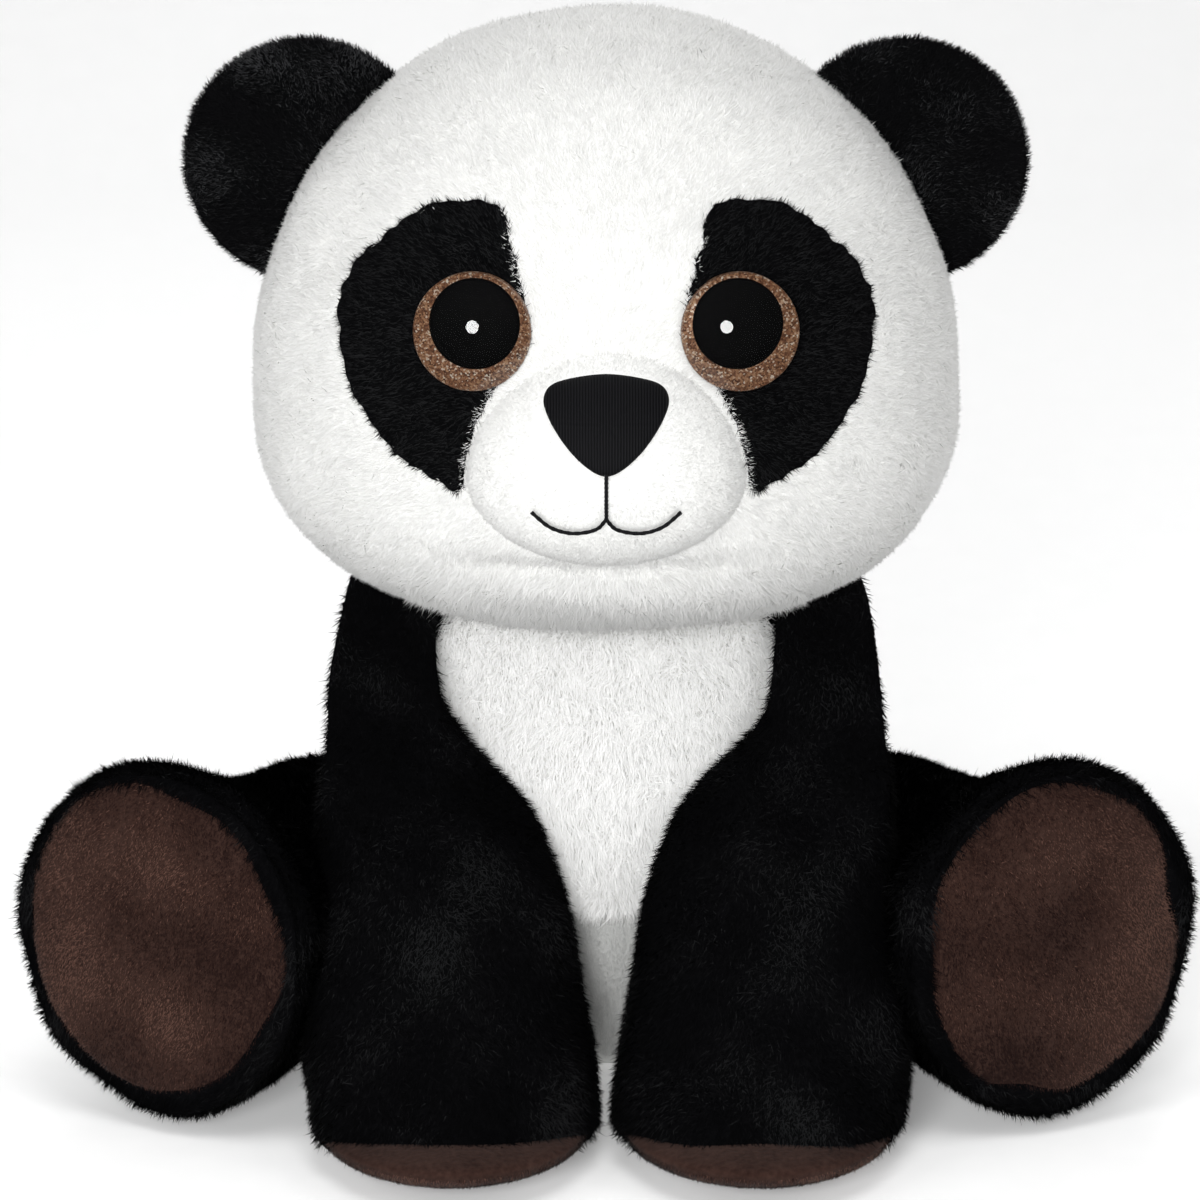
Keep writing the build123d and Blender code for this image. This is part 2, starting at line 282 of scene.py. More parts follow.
def leg_form(side):
    """From the hip out to a broad foot whose sole looks forwards and outwards."""
    along, across = leg_axes(side)
    sole = sole_middle(side)
    # along from the sole, height of the middle, half height, half width
    rows = [
        (-158, 52, 6, 5),
        (-151, 52, 27, 24),
        (-130, 52, 42, 40),
        (-90, 52, 46, 45),
        (-50, 57, 51, 48),
        (-25, 63, 57, 52),
        (-10, 67, 61, 54.5),
        (-2, 67, 60, 53.5),
        (2.5, 67, 56.5, 50),
        (3, 67, 30, 26),
    ]
    stations = []
    for distance, height, half_height, half_width in rows:
        middle = sole + along * distance
        middle[2] = height
        stations.append((middle, across * half_width, np.array([0, 0, half_height])))
    surface = limb_form(stations)
    points = surface.points + surface.normals * (1.2 * waves(surface.points, 42, 21 + side))[:, None]
    lie_flat_beside_arm(points, side)
    return outward(points, surface.faces)


def lie_flat_beside_arm(points, side):
    """Presses the leg's inner side flat where the arm is in the way."""
    inside = (side * points[:, 0] < ARM_EDGE) & (points[:, 1] < TORSO_MID_Y - 45)
    points[inside, 0] = side * (ARM_EDGE - 0.25 * (ARM_EDGE - side * points[inside, 0]))


def ear_form(side):
    """A round ear, cupped forwards, with a full back."""
    low, high = box_mm(f"{'left' if side > 0 else 'right'}_ear_front")
    middle = np.array([side * (max(abs(low[0]), abs(high[0])) - 40), high[1] + 1, high[2] - 43])
    rows, columns = 40, 96
    directions = globe_directions(rows, columns).reshape(-1, 3)
    radii = np.array([EAR_RADIUS, EAR_HALF_DEPTH, EAR_RADIUS])
    flat = directions[:, [0, 2, 1]] * radii
    distance = np.hypot(flat[:, 0], flat[:, 2]) / EAR_RADIUS
    front = flat[:, 1] < 0
    flat[:, 1] += np.where(front, EAR_CUP * (1 - distance**2), 0)
    flat[:, 1] += EAR_RIM * distance**2 * np.where(front, -1, -0.6)
    return outward(flat + middle, grid_faces(rows, columns)), middle


def cap_form(centre, axis, up, half_width, half_height, bulge, depth=4):
    """A stuffed pad: domed outwards, slightly sunk behind its rim."""
    rows, columns = 44, 96
    axis = axis / np.linalg.norm(axis)
    sideways = np.cross(up, axis)
    directions = globe_directions(rows, columns).reshape(-1, 3)
    rise = np.where(directions[:, 2] > 0, bulge * directions[:, 2], depth * directions[:, 2])
    points = (
        centre
        + sideways * (directions[:, 0] * half_width)[:, None]
        + up * (directions[:, 1] * half_height)[:, None]
        + axis * rise[:, None]
    )
    return outward(points, grid_faces(rows, columns))


# ---- outlines of the panels, on the front of the toy ----
def inside_outline(x, z, outline):
    """True where a point of the XZ plane is within a closed outline."""
    within = np.zeros(len(x), bool)
    ends = np.roll(outline, -1, axis=0)
    for (x1, z1), (x2, z2) in zip(outline, ends):
        crosses = (z1 > z) != (z2 > z)
        reach = x1 + (z - z1) / (z2 - z1 + 1e-12) * (x2 - x1)
        within ^= crosses & (x < reach)
    return within


def round_outline(corners, steps=12):
    """A closed smooth curve through a few points."""
    corners = np.asarray(corners, float)
    before, after, further = np.roll(corners, 1, 0), np.roll(corners, -1, 0), np.roll(corners, -2, 0)
    t = np.linspace(0, 1, steps, endpoint=False)[:, None]
    pieces = []
    for p0, p1, p2, p3 in zip(before, corners, after, further):
        bend = 2 * p0 - 5 * p1 + 4 * p2 - p3
        twist = 3 * p1 - p0 - 3 * p2 + p3
        curve = 2 * p1 + (p2 - p0) * t + bend * t**2 + twist * t**3
        pieces.append(curve / 2)
    return np.concatenate(pieces)


def uneven(outline, amount, scale, seeds):
    """The same outline with its edge wandering a little, as trimmed pile does."""
    places = np.c_[outline, outline[:, :1]]
    return outline + amount * np.stack([waves(places, scale, seed) for seed in seeds], -1)


# The toy's left patch: x and height in millimetres, from its inner corner over the top and round.
EYE_PATCH = round_outline(
    [(30, 305), (33, 317), (45, 319), (60, 315), (75, 303.5), (83.5, 293), (87.5, 279), (83, 257)]
    + [(70, 239), (54, 229), (47, 228), (44, 245), (35, 263), (25, 276), (27.5, 294)]
)
EYE_PATCH = uneven(EYE_PATCH, 0.7, 8, (61, 62))
BELLY_SIDE = [(38, 163), (55, 152), (57, 130), (50, 110), (34, 90), (20, 74), (10, 67)]
BELLY = round_outline([(0, 166)] + BELLY_SIDE + [(0, 65)] + [(-x, z) for x, z in reversed(BELLY_SIDE)])


def in_patch(points, side):
    return inside_outline(side * points[:, 0], points[:, 2], EYE_PATCH) & (points[:, 1] < HEAD_MID[1])


def in_muzzle(points, grow=0.0):
    share = (points - MUZZLE_CENTRE) / (MUZZLE_RADII + grow)
    return np.sum(share**2, axis=1) < 1


# ---- building pieces ----
def new_object(name, points, faces, material):
    """A smooth piece in one material, from points in millimetres."""
    mesh = bpy.data.meshes.new(name)
    mesh.from_pydata((points * MM).tolist(), [], [list(map(int, face)) for face in faces])
    mesh.materials.append(material)
    mesh.polygons.foreach_set("use_smooth", np.ones(len(mesh.polygons), bool))
    mesh.update()
    piece = bpy.data.objects.new(name, mesh)
    bpy.context.scene.collection.objects.link(piece)
    return piece


def part_of(surface, keep):
    """The quads of a surface whose middles are kept, with only the points that they use."""
    middles = surface.points[surface.faces].mean(1)
    faces = surface.faces[keep(middles)]
    used, renumbered = np.unique(faces, return_inverse=True)
    return surface.points[used], renumbered.reshape(-1, 4)


def front_tree(surface):
    return BVHTree.FromPolygons(surface.points.tolist(), surface.faces.tolist())


def laid_on(tree, x, z, lift):
    """Where a point seen from the front lies on a form, raised straight off its cloth."""
    place, normal, _, _ = tree.ray_cast(Vector((x, -1000, z)), Vector((0, 1, 0)))
    if place is None:
        place, normal, _, _ = tree.find_nearest(Vector((x, -100, z)))
    return np.array(place) + np.array(normal) * lift


def laid_panel(outline, surface, lift, rings=26):
    """A cloth panel of that outline, sewn over the front of a form, with its edge turned in."""
    tree = front_tree(surface)
    middle = outline.mean(0)
    shares = np.append(np.linspace(0.001, 1, rings), 1.002)
    lifts = np.append(np.full(rings, lift), -1.5)
    points = [
        laid_on(tree, *(middle + (corner - middle) * share), rise)
        for share, rise in zip(shares, lifts)
        for corner in outline
    ]
    faces = grid_faces(len(shares), len(outline))
    panel = Surface(np.array(points), faces)
    if panel.normals[:, 1].mean() > 0:
        panel = Surface(panel.points, faces[:, ::-1])
    return panel


def scatter(surface, per_square_mm, generator, keep):
    """Random roots over the kept area, with the direction straight out of the cloth at each."""
    a, b, c, d = (surface.points[surface.faces[:, i]] for i in range(4))
    area = 0.5 * np.linalg.norm(np.cross(c - a, d - b), axis=1)
    count = int(area.sum() * per_square_mm * PILE_SHARE)
    chosen = generator.choice(len(area), size=count, p=area / area.sum())
    u, v = generator.random((2, count, 1))
    faces = surface.faces[chosen]

    def spread(values):
        p0, p1, p2, p3 = (values[faces[:, i]] for i in range(4))
        return p0 * (1 - u) * (1 - v) + p1 * u * (1 - v) + p2 * u * v + p3 * (1 - u) * v

    roots, normals = spread(surface.points), spread(surface.normals)
    kept = keep(roots)
    normals = normals[kept]
    return roots[kept], normals / np.linalg.norm(normals, axis=1, keepdims=True)


def unit(vectors):
    return vectors / np.maximum(np.linalg.norm(vectors, axis=1, keepdims=True), 1e-9)


def grow_pile(name, surface, materials, keep, pile, comb, seed, shade=None):
    """Pile strands: thin tapered blades that lean the way the cloth is combed."""
    generator = np.random.default_rng(seed)
    roots, normals = scatter(surface, pile["density"], generator, keep)
    count = len(roots)
    flow = comb(roots)
    flow = unit(flow - normals * np.sum(flow * normals, axis=1, keepdims=True))
    swirl = np.stack([waves(roots, 19, seed + k) for k in range(3)], -1) * 0.45
    flow = flow + swirl + generator.normal(size=(count, 3)) * 0.4
    flow = unit(flow - normals * np.sum(flow * normals, axis=1, keepdims=True))
    ragged = pile["ragged"] * generator.normal(size=(count, 1))
    tufts = 0.15 * waves(roots, 9, seed + 9)[:, None]
    tall = pile["length"] * np.clip(1 + ragged + tufts, 0.4, 1.8)
    sideways = unit(np.cross(normals, flow) + 0.5 * generator.normal(size=(count, 3)))
    half = pile["width"] / 2 * (0.7 + 0.6 * generator.random((count, 1)))
    lean = np.clip(pile["lay"] + 0.12 * generator.normal(size=(count, 1)), 0.05, 0.95)
    reach = normals * (1 - lean) + flow * lean
    looks_out = np.sum(np.cross(sideways, reach) * normals, axis=1, keepdims=True) >= 0
    across = sideways * half * np.where(looks_out, 1.0, -1.0)
    low = roots - 0.4 * normals
    tip = roots + tall * reach
    if pile["bent"]:
        middle = roots + tall * (0.5 * normals * (1 - 0.5 * lean) + 0.35 * flow * lean)
        corners = [low - across, low + across, middle + 0.8 * across, middle - 0.8 * across, tip]
        blades = ((0, 1, 2, 3), (3, 2, 4))
    else:
        corners = [low - across, low + across, tip]
        blades = ((0, 1, 2),)
    tints = generator.integers(len(materials), size=count) if shade is None else shade(roots, generator)
    soft = unit(normals + 0.2 * flow + GLOSS_SPREAD * generator.normal(size=normals.shape))
    corners = np.stack(corners, 1)
    corners[..., 2] = np.maximum(corners[..., 2], FLOOR_GAP)
    return strands_object(name, corners, blades, soft, materials, tints)


def strands_object(name, corners, blades, soft, materials, tints):
    """One mesh of all the strands, shaded softly as the cloth below them is."""
    count, per_strand = corners.shape[:2]
    sizes = np.tile([len(blade) for blade in blades], count)
    order = np.concatenate([np.array(blade) for blade in blades])
    numbers = (np.arange(count)[:, None] * per_strand + order).ravel()
    mesh = bpy.data.meshes.new(name)
    mesh.vertices.add(count * per_strand)
    mesh.vertices.foreach_set("co", (corners * MM).astype(np.float32).ravel())
    mesh.loops.add(len(numbers))
    mesh.loops.foreach_set("vertex_index", numbers.astype(np.int32))
    mesh.polygons.add(len(sizes))
    mesh.polygons.foreach_set("loop_start", (np.cumsum(sizes) - sizes).astype(np.int32))
    for material in materials:
        mesh.materials.append(material)
    mesh.polygons.foreach_set("material_index", np.repeat(tints, len(blades)).astype(np.int32))
    mesh.polygons.foreach_set("use_smooth", np.ones(len(sizes), bool))
    mesh.update(calc_edges=True)
    mesh.normals_split_custom_set_from_vertices(np.repeat(soft, per_strand, axis=0).tolist())
    piece = bpy.data.objects.new(name, mesh)
    bpy.context.scene.collection.objects.link(piece)
    return piece


GLOSS_SPREAD = 0.12  # how far strands differ in the direction that they catch the light from


def pile_kind(density, length, width, lay, ragged=0.15, bent=False):
    """Strands on a square millimetre, their length and width in millimetres, and how flat they lie."""
    return {
        "density": density,
        "length": length,
        "width": width,
        "lay": lay,
        "ragged": ragged,
        "bent": bent,
    }


FACE_PILE = pile_kind(3.2, 4.0, 0.48, 0.74, 0.12)
BACK_PILE = pile_kind(2.0, 4.4, 0.58, 0.74, 0.12)
CHIN_PILE = pile_kind(3.4, 6.5, 0.42, 0.70, 0.2)
PATCH_PILE = pile_kind(3.6, 3.4, 0.42, 0.66, 0.3)
MUZZLE_PILE = pile_kind(4.5, 1.6, 0.35, 0.6)
EAR_PILE = pile_kind(3.0, 3.8, 0.42, 0.62)
LIMB_PILE = pile_kind(2.6, 5.0, 0.5, 0.64, 0.2)
TORSO_PILE = pile_kind(1.7, 5.2, 0.55, 0.64, 0.2)
BELLY_PILE = pile_kind(3.6, 7.0, 0.42, 0.72, 0.22, bent=True)
LOWER_PILE = pile_kind(3.5, 2.2, 0.4, 0.6)
PAD_PILE = pile_kind(4.5, 1.9, 0.38, 0.62)
TAIL_PILE = pile_kind(2.5, 6.0, 0.5, 0.6, 0.2)


# ---- materials ----
def new_material(name):
    """A material's tree, its shader and its object coordinates, ready to be linked."""
    material = bpy.data.materials.new(name)
    material.use_nodes = True
    tree = material.node_tree
    place = tree.nodes.new("ShaderNodeTexCoord").outputs["Object"]
    return material, tree, tree.nodes["Principled BSDF"], place


def set_inputs(node, values):
    for name, value in values.items():
        node.inputs[name].default_value = value


def add_node(tree, kind, values):
    """A new node with its input values, by name or by number."""
    node = tree.nodes.new(f"ShaderNode{kind}")
    set_inputs(node, values)
    return node


def add_math(tree, operation, factor):
    node = add_node(tree, "Math", {1: factor})
    node.operation = operation
    return node


def cloth_material(name, dark, light, grain_mm, roughness, sheen, bump=0.5, shine=0.2):
    """Woven backing or short nap: two tones in grains, a coarser mottling, and a raised texture."""
    material, tree, shader, place = new_material(name)
    link = tree.links.new
    fine = add_node(tree, "TexNoise", {"Scale": 1 / (grain_mm * MM), "Detail": 4})
    broad = add_node(tree, "TexNoise", {"Scale": 1 / (22 * MM)})
    grains = add_math(tree, "MULTIPLY_ADD", 0.6)
    mottling = add_math(tree, "MULTIPLY", 0.45)
    tone = tree.nodes.new("ShaderNodeValToRGB")
    for stop, position, colour in zip(tone.color_ramp.elements, (0.35, 0.75), (dark, light)):
        stop.position = position
        stop.color = (*colour, 1)
    raised = add_node(tree, "Bump", {"Strength": bump, "Distance": 0.6 * MM})
    limits = {"To Min": max(0.0, roughness - 0.1), "To Max": min(1.0, roughness + 0.1)}
    rough = add_node(tree, "MapRange", limits)
    for texture in (fine, broad):
        link(place, texture.inputs["Vector"])
    link(broad.outputs["Fac"], mottling.inputs[0])
    link(fine.outputs["Fac"], grains.inputs[0])
    link(mottling.outputs[0], grains.inputs[2])
    link(grains.outputs[0], tone.inputs["Fac"])
    link(tone.outputs["Color"], shader.inputs["Base Color"])
    link(fine.outputs["Fac"], raised.inputs["Height"])
    link(raised.outputs["Normal"], shader.inputs["Normal"])
    link(fine.outputs["Fac"], rough.inputs["Value"])
    link(rough.outputs[0], shader.inputs["Roughness"])
    set_inputs(shader, {"Sheen Weight": sheen, "Sheen Roughness": 0.5, "Specular IOR Level": shine})
    return material


def uneven_gloss(tree, shader, place, noise, least, most):
    """Roughness that varies with a noise texture."""
    texture = add_node(tree, "TexNoise", noise)
    rough = add_node(tree, "MapRange", {"To Min": least, "To Max": most})
    tree.links.new(place, texture.inputs["Vector"])
    tree.links.new(texture.outputs["Fac"], rough.inputs["Value"])
    tree.links.new(rough.outputs[0], shader.inputs["Roughness"])


def pile_material(name, colour, sheen, shine, glow, roughness=0.85):
    """One tint of pile. Its gloss varies from strand to strand."""
    material, tree, shader, place = new_material(name)
    least, most = roughness - 0.15, min(1.0, roughness + 0.12)
    uneven_gloss(tree, shader, place, {"Scale": 400, "Detail": 1}, least, most)
    tint = (*colour, 1)
    set_inputs(shader, {"Base Color": tint, "Emission Color": tint, "Emission Strength": glow})
    set_inputs(shader, {"Sheen Weight": sheen, "Sheen Roughness": 0.4, "Specular IOR Level": shine})
    return material


def pile_tints(name, colours, sheen, shine=0.15, glow=0.0):
    """Several tints of one pile. The glow stands for light that white fibres pass on to each other."""
    return [
        pile_material(f"{name}_pile_{number}", colour, sheen, shine, glow)
        for number, colour in enumerate(colours, start=1)
    ]


WHITE_BASE = cloth_material("white_plush_base", (0.76, 0.76, 0.74), (0.86, 0.86, 0.84), 2.2, 0.9, 0.1)
MUZZLE_BASE = cloth_material("muzzle_short_pile", (0.80, 0.80, 0.78), (0.88, 0.88, 0.865), 1.6, 0.9, 0.1)
# Painted shade: the lower front panel and the seat are white cloth, given grey tones for the shade they lie
# in.
LOWER_SHADED_BASE = cloth_material("lower_front_base", (0.62, 0.63, 0.61), (0.74, 0.74, 0.72), 1.8, 0.9, 0.1)
BLACK_BASE = cloth_material(
    "black_plush_base", (0.0015, 0.0015, 0.0018), (0.004, 0.004, 0.0045), 2.0, 0.95, 0.0, shine=0.02
)
BROWN_BASE = cloth_material(
    "brown_plush_base", (0.018, 0.008, 0.006), (0.05, 0.026, 0.02), 1.8, 0.9, 0.05, shine=0.05
)
WHITE_PILE = pile_tints(
    "white", [(0.89, 0.89, 0.875), (0.87, 0.87, 0.855), (0.91, 0.91, 0.90)], 0.05, glow=0.03
)
# Painted light: the belly's tints are paler and glow more than the other white pile, to lift the shade that
# the head casts on it.
BELLY_PILE_TINTS = pile_tints(
    "belly", [(0.91, 0.91, 0.90), (0.89, 0.89, 0.88), (0.93, 0.93, 0.92)], 0.05, glow=0.12
)
# Painted shade: white pile in grey tints, for the lower front in shade.
SHADED_WHITE_PILE = pile_tints("shaded_white", [(0.80, 0.80, 0.785), (0.74, 0.745, 0.735)], 0.05)
# The palest tint is painted sheen, gathered in patches on the arms and legs; on the eye patches and torso
# the tints are scattered at random.
BLACK_PILE = pile_tints(
    "black", [(0.0022, 0.0022, 0.0026), (0.0045, 0.0045, 0.005), (0.014, 0.0143, 0.015)], 0.01, 0.03
)
# Painted sheen: the two paler tints stand for light caught by the ears' pile, laid in patches.
EAR_PILE_TINTS = pile_tints(
    "ear", [(0.003, 0.003, 0.0034), (0.010, 0.010, 0.0107), (0.032, 0.0325, 0.034)], 0.03, 0.05
)
BROWN_PILE = pile_tints(
    "brown", [(0.017, 0.007, 0.006), (0.058, 0.027, 0.020), (0.135, 0.070, 0.052)], 0.06, 0.08
)


def thread_material(name, colour, stitch_mm):
    """Satin stitch: fine parallel threads side by side."""
    material, tree, shader, place = new_material(name)
    link = tree.links.new
    scale = 1 / (stitch_mm * MM) / 6.0
    threads = add_node(tree, "TexWave", {"Scale": scale, "Distortion": 0.6, "Detail": 2})
    threads.bands_direction = "X"
    raised = add_node(tree, "Bump", {"Strength": 0.6, "Distance": 0.3 * MM})
    tone = tree.nodes.new("ShaderNodeValToRGB")
    for stop, strength in zip(tone.color_ramp.elements, (0.5, 1.6)):
        stop.color = (*[value * strength for value in colour], 1)
    link(place, threads.inputs["Vector"])
    link(threads.outputs["Fac"], raised.inputs["Height"])
    link(threads.outputs["Fac"], tone.inputs["Fac"])
    link(tone.outputs["Color"], shader.inputs["Base Color"])
    link(raised.outputs["Normal"], shader.inputs["Normal"])
    set_inputs(shader, {"Roughness": 0.7, "Specular IOR Level": 0.12})
    return material


def glitter_material():
    """Copper flakes under the dome, each with its own tone; the few near-white ones are painted glints."""
    material, tree, shader, place = new_material("copper_glitter")
    link = tree.links.new
    flakes = add_node(tree, "TexVoronoi", {"Scale": 1 / (0.55 * MM)})
    tone = tree.nodes.new("ShaderNodeValToRGB")
    stops = tone.color_ramp.elements
    stops[0].color = (0.10, 0.035, 0.015, 1)
    # Painted glints: this palest stop makes a few flakes near white, standing for sparkle.
    stops[1].color = (1.0, 0.93, 0.80, 1)
    stops.new(0.55).color = (0.34, 0.15, 0.075, 1)
    stops.new(0.86).color = (0.62, 0.36, 0.20, 1)
    single = tree.nodes.new("ShaderNodeSeparateColor")
    link(place, flakes.inputs["Vector"])
    link(flakes.outputs["Color"], single.inputs[0])
    link(single.outputs[0], tone.inputs["Fac"])
    link(tone.outputs["Color"], shader.inputs["Base Color"])
    set_inputs(shader, {"Metallic": 0.35, "Roughness": 0.35})
    return material


def plastic_material(name, colour, roughness, alpha=1.0, index=1.5, shine=0.5):
    """Smooth moulded plastic with faint wear in its gloss."""
    material, tree, shader, place = new_material(name)
    uneven_gloss(tree, shader, place, {"Scale": 900}, roughness * 0.8, roughness * 1.3)
    set_inputs(shader, {"Base Color": (*colour, 1), "Alpha": alpha, "IOR": index})
    set_inputs(shader, {"Specular IOR Level": shine})
    return material


def head_comb(points):
    """The face's pile runs away from the nose, and down at the sides."""
    nose = np.array([0, muzzle_low[1], MUZZLE_CENTRE[2]])
    away = unit(points - nose)
    return away + np.array([0, 0.2, -0.45])


def cover(node, body, surface, keep, base, pile, tints, comb, seed, hides=(), shade=None, keep_pile=None):
    """The stuffed cloth of one panel and its pile, both moving with a body and standing for a CAD node."""
    points, faces = part_of(surface, keep)
    skin = new_object(f"{node}_cloth", points, faces, base)
    hair = grow_pile(f"{node}_pile", surface, tints, keep_pile or keep, pile, comb, seed, shade)
    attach(skin, body)
    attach(hair, body)
    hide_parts(node, *hides)


def everywhere(points):
    return np.ones(len(points), bool)


CHIN_HALF_WIDTH = 66
CHIN_DEPTH = 38  # how far in front of the head's middle the chin band starts
PATCH_LIFT = 0.6


def build_head():
    """The face, the back of the head, the chin band and the two eye patches."""
    surface = head_form()
    chin_top = box_mm("chin_band")[1][2]

    def front(p):
        return p[:, 1] < HEAD_MID[1]

    def back(p):
        return ~front(p)

    def chin(p):
        below_face = (p[:, 2] < chin_top) & (p[:, 1] < HEAD_MID[1] - CHIN_DEPTH)
        return front(p) & below_face & (np.abs(p[:, 0]) < CHIN_HALF_WIDTH)

    def face(p):
        return front(p) & ~chin(p) & ~in_muzzle(p, -5)

    def face_pile(p):
        return face(p) & ~in_patch(p, 1) & ~in_patch(p, -1) & ~in_muzzle(p, -1)

    def chin_pile(p):
        return chin(p) & ~in_muzzle(p, -1)

    def patch_pile(side):
        return lambda p: in_patch(p, side) & ~in_muzzle(p)

    cover("face_cover", "head", surface, face, WHITE_BASE, FACE_PILE, WHITE_PILE, head_comb, 100,
          keep_pile=face_pile)
    cover("head_back_cover", "head", surface, back, WHITE_BASE, BACK_PILE, WHITE_PILE, head_comb, 101,
          ["head_stuffing"])
    cover("chin_band", "head", surface, chin, WHITE_BASE, CHIN_PILE, WHITE_PILE, head_comb, 102,
          keep_pile=chin_pile)
    for seed, (name, side) in enumerate(SIDES, start=103):
        panel = laid_panel(EYE_PATCH * [side, 1], surface, PATCH_LIFT)
        cover(f"{name}_eye_patch", "head", panel, everywhere, BLACK_BASE, PATCH_PILE, BLACK_PILE, head_comb,
              seed, keep_pile=patch_pile(side))


def build_muzzle():
    """The snout's cover, with the embroidered nose and mouth on it."""
    surface = muzzle_form()

    def outside(p):
        return (p[:, 1] < MUZZLE_CENTRE[1] + 20) & ~on_nose(p)

    cover("muzzle_cover", "head", surface, everywhere, MUZZLE_BASE, MUZZLE_PILE, WHITE_PILE, head_comb, 120,
          ["muzzle_stuffing"], keep_pile=outside)
    build_nose(surface)
    build_mouth(surface)


NOSE_TOP = box_mm("nose_embroidered")[1][2]
NOSE = round_outline(
    [(-20, -7), (-15, -2.5), (0, 0), (15, -2.5), (20, -7), (18, -13.5), (11, -22.5), (3, -28.5)]
    + [(-3, -28.5), (-11, -22.5), (-18, -13.5)]
) + np.array([0, NOSE_TOP])
MOUTH_THREAD_RADIUS = 0.62
MOUTH_THREAD_LIFT = 1.6


def on_nose(points):
    return inside_outline(points[:, 0], points[:, 2], NOSE * [0.97, 1.0])


def front_of(surface, x, z):
    """The foremost depth of a surface above points of the XZ plane, from its nearest grid points."""
    front = surface.points[surface.normals[:, 1] < -0.05]
    depth = []
    for px, pz in zip(x, z):
        distance = (front[:, 0] - px) ** 2 + (front[:, 2] - pz) ** 2
        near = np.argsort(distance)[:6]
        weight = 1 / (distance[near] + 0.2)
        depth.append(np.sum(front[near, 1] * weight) / weight.sum())
    return np.array(depth)


def build_nose(surface):
    """The satin-stitched nose: a low cushion of thread over the front of the snout."""
    middle = NOSE.mean(0)
    shares = np.array([0.0001, 0.15, 0.3, 0.45, 0.6, 0.75, 0.88, 0.96, 1.0, 1.0])
    heights = np.array([2.4, 2.4, 2.35, 2.3, 2.2, 2.1, 1.9, 1.5, 0.8, -1.0])
    rings = [middle + (NOSE - middle) * share for share in shares]
    flat = np.concatenate(rings)
    depth = front_of(surface, flat[:, 0], flat[:, 1])
    raised = np.repeat(heights, len(NOSE))
    points = np.stack([flat[:, 0], depth - raised, flat[:, 1]], -1)
    sheet = outward(points, grid_faces(len(shares), len(NOSE)))
    if sheet.normals[:, 1].mean() > 0:
        sheet = Surface(points, sheet.faces[:, ::-1])
    stitches = thread_material("black_satin_stitch", (0.006, 0.006, 0.007), 0.5)
    nose = new_object("nose_embroidered_threads", sheet.points, sheet.faces, stitches)
    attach(nose, "head")
    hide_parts("nose_embroidered")


def build_mouth(surface):
    """Three couched threads: one down from the nose and two smile curves."""
    bottom = NOSE[:, 1].min()
    low = box_mm("mouth_thread")[0][2]
    black = thread_material("black_mouth_thread", (0.008, 0.008, 0.009), 0.4)
    drop = [(0, bottom + 1), (0, bottom - 7), (0, low + 6)]
    left = [(0, low + 6), (-3.5, low + 2.2), (-11, low + 0.5), (-18, low + 2.2), (-24, low + 7)]
    right = [(-x, z) for x, z in left]
    pieces = []
    for number, way in enumerate((drop, left, right), start=1):
        way = np.array(way, float)
        t = np.linspace(0, 1, 40)
        knots = np.linspace(0, 1, len(way))
        x, z = smooth_between(t, knots, way[:, 0]), smooth_between(t, knots, way[:, 1])
        y = front_of(surface, x, z) - MOUTH_THREAD_LIFT
        line = np.stack([x, y, z], -1)
        pieces.append(thread_tube(f"mouth_thread_{number}", line, MOUTH_THREAD_RADIUS, black))
    for piece in pieces:
        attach(piece, "head")
    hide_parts("mouth_thread")


def thread_tube(name, way, radius, material):
    """A twisted thread along a way."""
    columns = 8
    tangent = unit(np.gradient(way, axis=0))
    sideways = unit(np.cross(tangent, np.array([0, -1.0, 0])))
    up = np.cross(sideways, tangent)
    around = np.linspace(0, 2 * math.pi, columns, endpoint=False)
    twist = np.arange(len(way))[:, None] * 0.9
    swell = radius * (1 + 0.12 * np.cos(2 * (around[None] + twist)))
    cosine, sine = np.cos(around)[None, :, None], np.sin(around)[None, :, None]
    ring = way[:, None] + swell[..., None] * (sideways[:, None] * cosine + up[:, None] * sine)
    return new_object(name, ring.reshape(-1, 3), grid_faces(len(way), columns), material)


# ---- eyes ----
def dish(centre, axis, up, radius, profile, columns=72):
    """A round form turned about an axis: the profile gives (share of radius, height) pairs."""
    sideways = np.cross(up, axis)
    around = np.linspace(0, 2 * math.pi, columns, endpoint=False)
    ring = np.cos(around)[:, None] * sideways + np.sin(around)[:, None] * up
    points = np.concatenate([centre + ring * radius * share + axis * height for share, height in profile])
    return points, grid_faces(len(profile), columns)


EYE_TURN_OUT = math.radians(7)
EYE_TURN_UP = math.radians(6)
EYE_STANDS_OUT = 2.0
DISC_RADIUS = 19.2
DOME_RADIUS = 19.4
DOME_BALL = 25.6  # the radius of the ball that the dome is cut from
DOME_ANGLE = 0.86  # how much of that ball it covers, in radians
PUPIL_RADIUS = 14.8
DISC_PROFILE = [(0.0001, 0.9), (0.5, 0.9), (0.97, 0.7), (1.0, 0.0), (1.0, -4)]
PUPIL_PROFILE = [(0.0001, 2.6), (0.6, 2.3), (0.92, 1.6), (1.0, 1.0), (1.0, 0.2)]
EYE_SLOTS = {
    "eye_glitter_disc": "glitter_copper",
    "eye_pupil": "black_plastic",
    "eye_clear_dome": "clear_plastic",
}


def dome_profile():
    rim = math.cos(DOME_ANGLE)
    angles = np.linspace(0.001, DOME_ANGLE, 22)
    cap = [(DOME_BALL * math.sin(a) / DOME_RADIUS, DOME_BALL * (math.cos(a) - rim) + 0.6) for a in angles]
    return cap + [(1.0, -3)]


